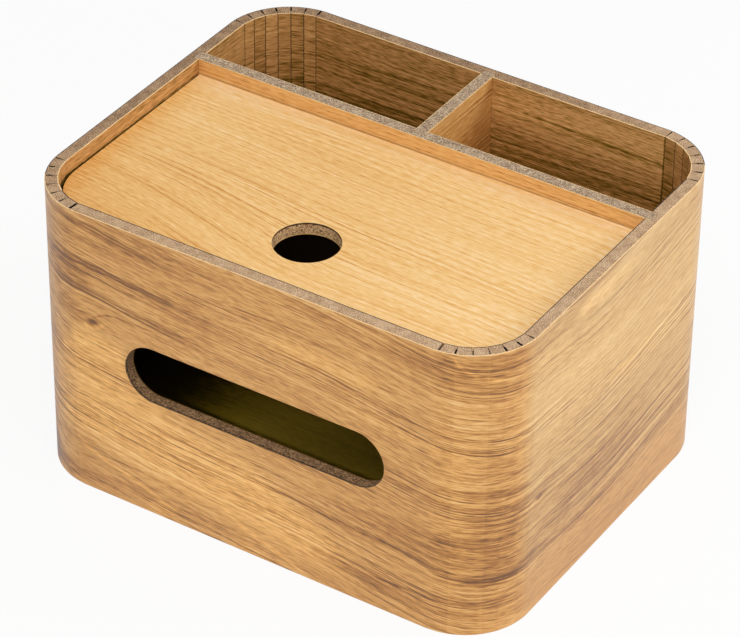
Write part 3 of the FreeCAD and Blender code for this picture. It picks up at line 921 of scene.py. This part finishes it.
# %% [markdown]
# ## Working by hand, in code
# Edit mode works on what is selected, so each step deselects all, selects by place or normal, and then
# calls the operator. `only` and `select_where` do the selecting. `settled` stretches a shape that was just
# added and makes its place and size its own. `fill_round` closes the ring between a sheet's outline and a
# hole's. `apply` and `ease` use modifiers, and `hand_over` gives a finished piece to the frame.

# %% Selecting and handing over
TOUCH = 0.01 * MM
sharp_angle = math.radians(50)
smooth_angle = math.radians(20)


def only(piece):
    """Selects one piece and makes it active, in object mode."""
    bpy.ops.object.select_all(action="DESELECT")
    piece.select_set(True)
    bpy.context.view_layer.objects.active = piece


def select_where(piece, kind, test):
    """In edit mode, selects the vertices, edges or faces that pass a test, and nothing else."""
    bpy.ops.mesh.select_mode(type={"verts": "VERT", "edges": "EDGE", "faces": "FACE"}[kind])
    bpy.ops.mesh.select_all(action="DESELECT")
    shape = bmesh.from_edit_mesh(piece.data)
    found = [element for element in getattr(shape, kind) if test(element)]
    for element in found:
        element.select_set(True)
    shape.select_flush(True)
    bmesh.update_edit_mesh(piece.data)
    return len(found)


def settled(size=(1, 1, 1)):
    """The shape just added, stretched to a size, with its place, turn and size made its own."""
    shape = bpy.context.object
    shape.scale = size
    bpy.ops.object.transform_apply(location=True, rotation=True, scale=True)
    return shape


def fill_round(sheet, hole):
    """Takes away a sheet's face and fills the ring between its outline and a hole's."""
    only(sheet)
    bpy.ops.object.mode_set(mode="EDIT")
    bpy.ops.mesh.select_all(action="SELECT")
    bpy.ops.mesh.delete(type="ONLY_FACE")
    bpy.ops.object.mode_set(mode="OBJECT")
    hole.select_set(True)
    bpy.ops.object.join()
    bpy.ops.object.mode_set(mode="EDIT")
    bpy.ops.mesh.select_all(action="SELECT")
    bpy.ops.mesh.fill(use_beauty=True)
    bpy.ops.object.mode_set(mode="OBJECT")


def apply(piece, kind, **settings):
    """Adds a modifier and applies it."""
    only(piece)
    modifier = piece.modifiers.new(kind.lower(), kind)
    for setting, value in settings.items():
        setattr(modifier, setting, value)
    bpy.ops.object.modifier_apply(modifier=modifier.name)


def ease(piece, width, segments=2):
    """Bevels the sharp arrises of a piece."""
    apply(piece, "BEVEL", width=width, segments=segments, limit_method="ANGLE", angle_limit=sharp_angle)


def hand_over(piece, name, body, record_slot, *nodes):
    """Names a piece, puts it on its body and hides the nodes it stands for."""
    piece.name = name
    piece.data.name = name
    only(piece)
    bpy.ops.object.shade_smooth_by_angle(angle=smooth_angle)
    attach(piece, body)
    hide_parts(*nodes)
    print(f"{name}: {len(piece.data.polygons)} faces on {body}")


print(f"edges that turn more than {math.degrees(sharp_angle):.0f} degrees count as sharp")

# %% [markdown]
# ## The front panel and its slot
# The slot for tissues is a long hole with round ends. A circle, stood upright in the plane of the front,
# becomes that outline when its right half is moved by the straight length. Turning the circle by half a
# step keeps its vertices off the middle line. A plane gives the panel's outline, and Fill closes the ring
# between the two.

# %% Front panel
slot_length = 142 * MM
slot_height = 30.5 * MM
slot_middle = Vector((1.5 * MM, case_low.y, 81.3 * MM))
slot_steps = 64
upright = math.radians(90)

half_step = math.pi / slot_steps
slot_straight = slot_length - slot_height
left_end = slot_middle - Vector((slot_straight / 2, 0, 0))
bpy.ops.object.select_all(action="DESELECT")
bpy.ops.mesh.primitive_circle_add(
    vertices=slot_steps, radius=slot_height / 2, location=left_end, rotation=(upright, half_step, 0)
)
slot_outline = settled()
bpy.ops.object.mode_set(mode="EDIT")
select_where(slot_outline, "verts", lambda vertex: vertex.co.x > left_end.x)
bpy.ops.transform.translate(value=(slot_straight, 0, 0))
bpy.ops.object.mode_set(mode="OBJECT")

bpy.ops.object.select_all(action="DESELECT")
panel_middle = (0, case_low.y, case_height / 2)
bpy.ops.mesh.primitive_plane_add(size=1, location=panel_middle, rotation=(upright, 0, 0))
outside = settled((front_flat, case_height, 1))
fill_round(outside, slot_outline)
print("front panel:", len(outside.data.polygons), "faces round the slot")

# %% [markdown]
# ## Bending the veneer round the case
# From each end of the panel the wall is extruded run by run: six facets, a flat side, six facets, and on
# the left also the rear, up to the seam. Then the fold lines are bevelled to the small round that the thin
# board keeps over each saw cut. Solidify gives the sheet its thickness, inwards, with the dark edge on its
# rim, glue and painted shade. Along the front and right the top of the rim is clean ash instead, and a
# painted highlight.

# %% Outside veneer
arris = 0.28 * MM
fold_offset = bend_round * math.tan(bend_angle / 2)
fold_segments = 3
# Limits on a face's normal that tell which way it looks.
somewhat_up = 0.3
upright_below = 0.5
straight_ahead = 0.9


def in_the_slot(face):
    """Whether a face is on the slot's edge or on the arris round it."""
    beside = face.center - slot_middle
    past_straight = max(abs(beside.x) - slot_straight / 2, 0)
    return math.hypot(past_straight, beside.z) < slot_height / 2 + arris and face.center.y < 0


def on_the_rim(face):
    return face.normal.z > somewhat_up and face.center.z > case_high.z - veneer


def extrude_runs(piece, end_x, steps):
    """Extrudes the upright edge at one end of the panel along the steps."""
    select_where(piece, "edges", lambda edge: all(abs(v.co.x - end_x) < TOUCH for v in edge.verts))
    for step in steps:
        bpy.ops.mesh.extrude_edges_move(TRANSFORM_OT_translate={"value": step})


only(outside)
bpy.ops.object.mode_set(mode="EDIT")
rightward = [direction * length for _, direction, length, _ in to_the_right[1:]]
leftward = [direction * -length for _, direction, length, _ in reversed(from_the_rear)]
extrude_runs(outside, front_flat / 2, rightward)
extrude_runs(outside, -front_flat / 2, leftward)
bpy.ops.mesh.select_all(action="SELECT")
bpy.ops.mesh.normals_make_consistent(inside=False)
folds = select_where(outside, "edges", lambda edge: edge.calc_face_angle(0) > bend_angle / 2)
bpy.ops.mesh.bevel(offset=fold_offset, segments=fold_segments, affect="EDGES")
bpy.ops.object.mode_set(mode="OBJECT")
for material in (ash_outside, glue_and_shade_edge, clean_and_lit_edge):
    outside.data.materials.append(material)
apply(outside, "SOLIDIFY", thickness=veneer, offset=-1, use_even_offset=True, material_offset_rim=1)
ease(outside, arris)
lay_grain(outside)
# Painted highlight: the lit rim runs from four facets before the front to two facets past the right side.
lit_rim_from = -front_flat / 2 - 4 * facet_length
lit_rim_to = corner_starts[1] + 2 * facet_length
# Top faces of the rim get the lit or the shaded edge; the slot's edge is dark as glue and painted shade.
for face in outside.data.polygons:
    along, _ = wall_place(face.center)
    if on_the_rim(face):
        face.material_index = 2 if lit_rim_from < along < lit_rim_to else 1
    elif in_the_slot(face) and face.normal.y > -straight_ahead:
        face.material_index = 1
print(folds, "folds")
hand_over(outside, "outside_veneer", "case", "ash_veneer_outside", "wall_outer_veneer")

# %% [markdown]
# ## The lining's pieces
# The inside veneer is cut through by the saw cuts and by the housings of the dividers, so it is many
# strips. The solid model has each of them in place. A merged copy, with its flat faces dissolved back to
# single faces and its arrises eased, keeps every cut true. Its top edge shows on the rim as a thin line of
# painted light: dark as painted shade along the front and the right, bright as a painted highlight elsewhere.

# %% Lining pieces
corner_ease = 0.12 * MM
flat_ease = 0.15 * MM
flat_angle = math.radians(1)
# A face under a millimetre wide, over the whole height, is the side of a saw cut.
sliver_area = 1 * MM * case_height
# Painted shade: the shaded rim starts two facets before the front and ends with the right side.
shaded_rim_from = -front_flat / 2 - 2 * facet_length
shaded_rim_to = corner_starts[1]


def eased_copy(node, width):
    """A merged copy of a node, with clean flat faces and, if a width is given, eased arrises."""
    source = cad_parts[node]
    piece = bpy.data.objects.new(node, source.data.copy())
    bpy.context.scene.collection.objects.link(piece)
    only(piece)
    bpy.ops.mesh.customdata_custom_splitnormals_clear()
    bpy.ops.object.mode_set(mode="EDIT")
    bpy.ops.mesh.select_all(action="SELECT")
    bpy.ops.mesh.remove_doubles(threshold=TOUCH)
    bpy.ops.mesh.dissolve_limited(angle_limit=flat_angle)
    bpy.ops.object.mode_set(mode="OBJECT")
    if width:
        ease(piece, width)
    piece.data.materials.clear()
    return piece


def edge_faces(piece, material, test):
    """Gives the faces that pass a test another material."""
    piece.data.materials.append(material)
    for face in piece.data.polygons:
        if test(face):
            face.material_index = len(piece.data.materials) - 1


def on_shaded_rim(face):
    return on_the_rim(face) and shaded_rim_from < wall_place(face.center)[0] < shaded_rim_to


def on_lit_rim(face):
    return on_the_rim(face) and not on_shaded_rim(face)


def is_upright(face):
    return abs(face.normal.z) < upright_below


def slot_edge(face):
    return in_the_slot(face) and abs(face.normal.y) < straight_ahead


places = ["front", "right", "rear", "left"]
corners = ["front_left_corner", "front_right_corner", "rear_left_corner", "rear_right_corner"]
for place in [*places, *corners]:
    in_corner = place in corners
    strip = eased_copy(f"wall_inner_veneer_{place}", corner_ease if in_corner else flat_ease)
    strip.data.materials.append(ash_lining)
    # The sides of the saw cuts are almost black, painted shade.
    if in_corner:
        edge_faces(strip, kerf_shade_board, lambda face: is_upright(face) and face.area < sliver_area)
    edge_faces(strip, ochre_edge, slot_edge)
    edge_faces(strip, glue_and_shade_edge, on_shaded_rim)
    edge_faces(strip, clean_and_lit_edge, on_lit_rim)
    lay_grain(strip)
    hand_over(strip, f"lining_{place}", "case", "ash_veneer_inside", f"wall_inner_veneer_{place}")

# %% [markdown]
# ## The lid's two veneers
# The lid is a board with two rounded front corners and a round finger hole. A plane at its size has its
# front corner vertices bevelled to the radius, a circle gives the hole, and Fill closes the ring as on the
# front panel. Solidify presses the sheet to its thickness and a fine bevel takes the sharpness off the
# arrises.

# %% Lid veneers
lid_corner = 30 * MM
hole_radius = 16 * MM
hole_setback = 40 * MM
hole_steps = 64
corner_segments = 16


def lid_sheet(node):
    low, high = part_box(node)
    middle = (low + high) / 2
    bpy.ops.object.select_all(action="DESELECT")
    hole_place = (middle.x, low.y + hole_setback, high.z)
    bpy.ops.mesh.primitive_circle_add(vertices=hole_steps, radius=hole_radius, location=hole_place)
    hole = settled()
    bpy.ops.object.select_all(action="DESELECT")
    bpy.ops.mesh.primitive_plane_add(size=1, location=(middle.x, middle.y, high.z))
    sheet = settled((high.x - low.x, high.y - low.y, 1))
    bpy.ops.object.mode_set(mode="EDIT")
    select_where(sheet, "verts", lambda vertex: vertex.co.y < middle.y)
    bpy.ops.mesh.bevel(offset=lid_corner, segments=corner_segments, affect="VERTICES")
    bpy.ops.object.mode_set(mode="OBJECT")
    fill_round(sheet, hole)
    bpy.ops.object.mode_set(mode="EDIT")
    bpy.ops.mesh.select_all(action="SELECT")
    bpy.ops.mesh.normals_make_consistent(inside=False)
    bpy.ops.object.mode_set(mode="OBJECT")
    sheet.data.materials.append(ash_lid)
    inwards = -1 if sheet.data.polygons[0].normal.z > 0 else 1
    apply(sheet, "SOLIDIFY", thickness=high.z - low.z, offset=inwards)
    ease(sheet, arris)
    return sheet


def in_the_hole(face):
    """Whether a face is on the upright edge of the finger hole."""
    hole_middle = Vector((0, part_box("lid_top_veneer")[0].y + hole_setback))
    return is_upright(face) and (face.center.xy - hole_middle).length < hole_radius + arris


lid_top = lid_sheet("lid_top_veneer")
# The finger hole's edge in the top veneer is dark as glue and painted shade.
edge_faces(lid_top, glue_and_shade_edge, in_the_hole)
hand_over(lid_top, "lid_top", "lid", "ash_veneer_lid", "lid_top_veneer")
hand_over(lid_sheet("lid_underside_veneer"), "lid_underside", "lid", "ash_veneer_lid", "lid_underside_veneer")

# %% [markdown]
# ## Dividers and strips
# The dividers' veneers are thin boards, one of them split by a housing, so they are eased copies as the
# lining is. Their top edge is dark with glue, between two bright arrises, clean wood and painted highlight.
# The strips that carry the lid are planed sticks: a cube at size, with the four long arrises bevelled wider
# than the ends, as a block plane leaves them.

# %% Dividers and strips
divider_ease = 0.2 * MM
straight_up = 0.95
for node, name, ash in (
    ("rear_divider_front_veneer", "divider_front", ash_divider),
    ("rear_divider_rear_veneer", "divider_back", ash_divider_rear),
    ("cross_divider_left_veneer", "cross_divider_left", ash_cross),
    ("cross_divider_right_veneer", "cross_divider_right", ash_cross),
):
    sheet = eased_copy(node, divider_ease)
    sheet.data.materials.append(ash)
    edge_faces(sheet, glue_and_shade_edge, lambda face: face.normal.z > straight_up)
    edge_faces(sheet, clean_and_lit_edge, lambda face: somewhat_up < face.normal.z < straight_up)
    hand_over(sheet, name, "case", "ash_veneer_inside", node)

planed = 0.5 * MM
planed_ends = planed / 3
for node in ("front_lid_rest", "rear_lid_rest"):
    low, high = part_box(node)
    bpy.ops.object.select_all(action="DESELECT")
    bpy.ops.mesh.primitive_cube_add(size=1, location=(low + high) / 2)
    stick = settled(high - low)
    bpy.ops.object.mode_set(mode="EDIT")
    length = high.x - low.x
    select_where(stick, "edges", lambda edge: edge.calc_length() > length - TOUCH)
    bpy.ops.mesh.bevel(offset=planed, segments=2, affect="EDGES")
    bpy.ops.object.mode_set(mode="OBJECT")
    ease(stick, planed_ends, segments=1)
    stick.data.materials.append(ash_strip)
    hand_over(stick, f"{node}_strip", "case", "ash_strip", node)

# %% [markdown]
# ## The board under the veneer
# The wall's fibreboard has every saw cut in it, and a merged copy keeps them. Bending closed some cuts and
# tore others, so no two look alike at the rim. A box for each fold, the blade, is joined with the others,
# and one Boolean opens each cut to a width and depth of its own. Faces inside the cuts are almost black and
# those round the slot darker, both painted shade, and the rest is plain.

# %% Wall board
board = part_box("rear_divider_rear_veneer")[1].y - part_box("rear_divider_front_veneer")[0].y
wall_board = eased_copy("wall_core", None)
blade_start = 1.6 * veneer
blade_height = 1.1 * case_height
under_veneer = 1.2 * veneer
# Width of each cut in millimetres, and its depth as a share of the fibreboard, in the order of the folds.
cut_widths = {
    "right": (1.3, 0.9, 0.9, 0.5, 1.1, 1.1, 0.8, 0.8, 0.9, 0.9, 0.8, 0.9, 0.7),
    "left": (1.0, 0.8, 0.9, 1.0, 0.9, 0.8, 0.5, 0.6, 1.0, 1.0, 0.6, 0.8, 0.8, 1.3),
}
cut_depths = {
    "right": (1.0, 0.55, 0.6, 0.4, 0.55, 0.6, 0.45, 0.55, 0.6, 0.6, 0.55, 0.6, 0.5),
    "left": (0.7, 0.6, 0.6, 0.6, 0.6, 0.6, 0.5, 0.5, 0.5, 0.5, 0.5, 0.5, 0.5, 1.0),
}
# Where each fold is, and how many bends lie before its middle.
folds_of = {
    "right": [(start, number + 0.5) for number, (start, _, _, _) in enumerate(to_the_right[1:])],
    "left": [
        (start, number + 0.5 - 2 * bends_per_corner)
        for number, (start, _, _, _) in enumerate([*from_the_rear[1:], to_the_right[0]])
    ],
}


def saw_blade(fold, bends, width, depth):
    """A box as wide as a saw cut, from just under the veneer inwards, over the whole height."""
    inwards = heading(bends + bends_per_corner)
    reach = depth * (board - 2 * veneer)
    middle = fold + inwards * (blade_start + reach / 2)
    bpy.ops.object.select_all(action="DESELECT")
    turn = math.atan2(inwards.y, inwards.x)
    place = (middle.x, middle.y, case_height / 2)
    bpy.ops.mesh.primitive_cube_add(size=1, location=place, rotation=(0, 0, turn))
    return settled((reach, width, blade_height))


blades = []
for side, folds_here in folds_of.items():
    for (fold, bends), width, depth in zip(folds_here, cut_widths[side], cut_depths[side]):
        blades.append(saw_blade(fold, bends, width * MM, depth))
bpy.ops.object.select_all(action="DESELECT")
for blade in blades:
    blade.select_set(True)
bpy.context.view_layer.objects.active = blades[0]
bpy.ops.object.join()
cutter = blades[0]
apply(wall_board, "BOOLEAN", operation="DIFFERENCE", object=cutter)
bpy.data.objects.remove(cutter)
wall_board.data.materials.clear()
wall_board.data.materials.append(fibreboard)
for face in wall_board.data.polygons:
    face.material_index = 0
print("saw cuts opened:", len(blades))


def in_a_cut(face):
    along, depth = wall_place(face.center)
    past_the_front = abs(along) > front_flat / 2 - MM
    return is_upright(face) and past_the_front and under_veneer < depth < board - under_veneer


# Faces inside the cuts are almost black, painted shade.
edge_faces(wall_board, kerf_shade_board, in_a_cut)
# The slot's edge takes the darker board, painted shade.
edge_faces(wall_board, shaded_slot_board, slot_edge)
hand_over(wall_board, "wall_board", "case", "fibreboard", "wall_core")

# %% [markdown]
# ## Boards that keep their solid
# The other fibreboard cores and the floor already have the right shape. They only get their finish.

# %% Cores and floor
for node in ("floor_core", "rear_divider_core", "cross_divider_core", "lid_core"):
    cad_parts[node].data.materials.clear()
    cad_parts[node].data.materials.append(bored_board if node == "lid_core" else grey_board)
for node in ("floor_top_veneer", "floor_underside_veneer"):
    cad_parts[node].data.materials.clear()
    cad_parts[node].data.materials.append(ash_floor)
print("cores and floor finished")

# %% [markdown]
# ## The studio floor
# The case stands on a pale floor. To the camera and in reflections the floor looks almost white, and for
# lighting it stays a matt pale grey. It still darkens where the case shades it.

# %% Studio floor
def shows_white(tree):
    """1 for rays from the camera, and for those that a surface mirrors or lets through."""
    path = tree.nodes.new("ShaderNodeLightPath")
    most = path.outputs["Is Camera Ray"]
    for name in ("Is Glossy Ray", "Is Transmission Ray"):
        larger = tree.nodes.new("ShaderNodeMath")
        larger.operation = "MAXIMUM"
        tree.links.new(most, larger.inputs[0])
        tree.links.new(path.outputs[name], larger.inputs[1])
        most = larger.outputs[0]
    return most


floor_shade = 0.85
floor_white_share = 0.9
floor_size = 30
bpy.ops.object.select_all(action="DESELECT")
bpy.ops.mesh.primitive_plane_add(size=floor_size, location=(0, 0, case_low.z))
floor = bpy.context.object
floor.name = "studio_floor"
floor_paint = Finish("pale_floor")
floor_paint.tree.nodes.remove(floor_paint.shader)
matt = floor_paint.node("ShaderNodeBsdfDiffuse", {"Color": (floor_shade, floor_shade, floor_shade, 1)})
white = floor_paint.node("ShaderNodeEmission", {"Color": (1, 1, 1, 1), "Strength": 1.0})
share = floor_paint.product(shows_white(floor_paint.tree), floor_white_share)
both = floor_paint.node("ShaderNodeMixShader", {0: share, 1: matt.outputs[0], 2: white.outputs[0]})
floor_paint.put(floor_paint.tree.nodes["Material Output"], "Surface", both.outputs[0])
floor.data.materials.append(floor_paint.material)
print(f"{floor.name}: {floor_size} m wide, {floor_white_share:.0%} white to the camera")

# %% [markdown]
# ## Light
# The light is soft: an even sky and two square lamps, a large one overhead, to the front and right, and a
# smaller one at the right. The sky too looks white to the camera and keeps a plain level for lighting.

# %% Sky and lamps
sky_level = 0.44
world = bpy.data.worlds.new("studio")
bpy.context.scene.world = world
world.use_nodes = True
sky = world.node_tree
lighting = sky.nodes["Background"]
lighting.inputs["Color"].default_value = (1, 1, 1, 1)
lighting.inputs["Strength"].default_value = sky_level
backdrop = sky.nodes.new("ShaderNodeBackground")
backdrop.inputs["Color"].default_value = (1, 1, 1, 1)
backdrop.inputs["Strength"].default_value = 1.0
either = sky.nodes.new("ShaderNodeMixShader")
sky.links.new(shows_white(sky), either.inputs[0])
sky.links.new(lighting.outputs[0], either.inputs[1])
sky.links.new(backdrop.outputs[0], either.inputs[2])
sky.links.new(either.outputs[0], sky.nodes["World Output"].inputs["Surface"])
print(f"sky: level {sky_level}")


def soft_lamp(name, place, power, size):
    """A square lamp that faces the case."""
    bpy.ops.object.select_all(action="DESELECT")
    bpy.ops.object.light_add(type="AREA", location=place)
    lamp = bpy.context.object
    lamp.name = name
    lamp.rotation_euler = Vector(place).to_track_quat("Z", "Y").to_euler()
    lamp.data.energy = power
    lamp.data.size = size
    print(f"{name}: {power} W, {size} m across")


soft_lamp("overhead_lamp", (0.5, -0.75, 1.4), 14.5, 1.0)
soft_lamp("side_lamp", (1.2, 0.75, 0.75), 7, 0.6)

# %% [markdown]
# ## Camera
# The camera stands far off with a long lens, which keeps the case's edges almost parallel. Its angle,
# distance and lens put the case where the photograph has it. `back` points from the target to the camera,
# and the slight roll turns the picture round that line.

# %% Camera
azimuth = math.radians(32.35)
elevation = math.radians(35.73)
roll = math.radians(0.70)
distance = 1779.5 * MM
target = Vector((-2.24 * MM, 0, 72.1 * MM))
sensor_width = 36
lens_length = 181.74

back = Vector((
    math.sin(azimuth) * math.cos(elevation),
    -math.cos(azimuth) * math.cos(elevation),
    math.sin(elevation),
))
level = Vector((0, 0, 1)).cross(back).normalized()
upward = back.cross(level)
right = math.cos(roll) * level + math.sin(roll) * upward
up = math.cos(roll) * upward - math.sin(roll) * level
stand = target + back * distance
bpy.ops.object.camera_add(location=stand)
camera = bpy.context.object
camera.matrix_world = Matrix.Translation(stand) @ Matrix((right, up, back)).transposed().to_4x4()
camera.data.sensor_width = sensor_width
camera.data.lens = lens_length
bpy.context.scene.camera = camera
bpy.context.scene.view_settings.view_transform = "Standard"
print(f"camera {distance:.2f} m away, lens {lens_length:.0f} mm")

# %% [markdown]
# ## Sizes
# The dressed case must fill the same box as the solid model.
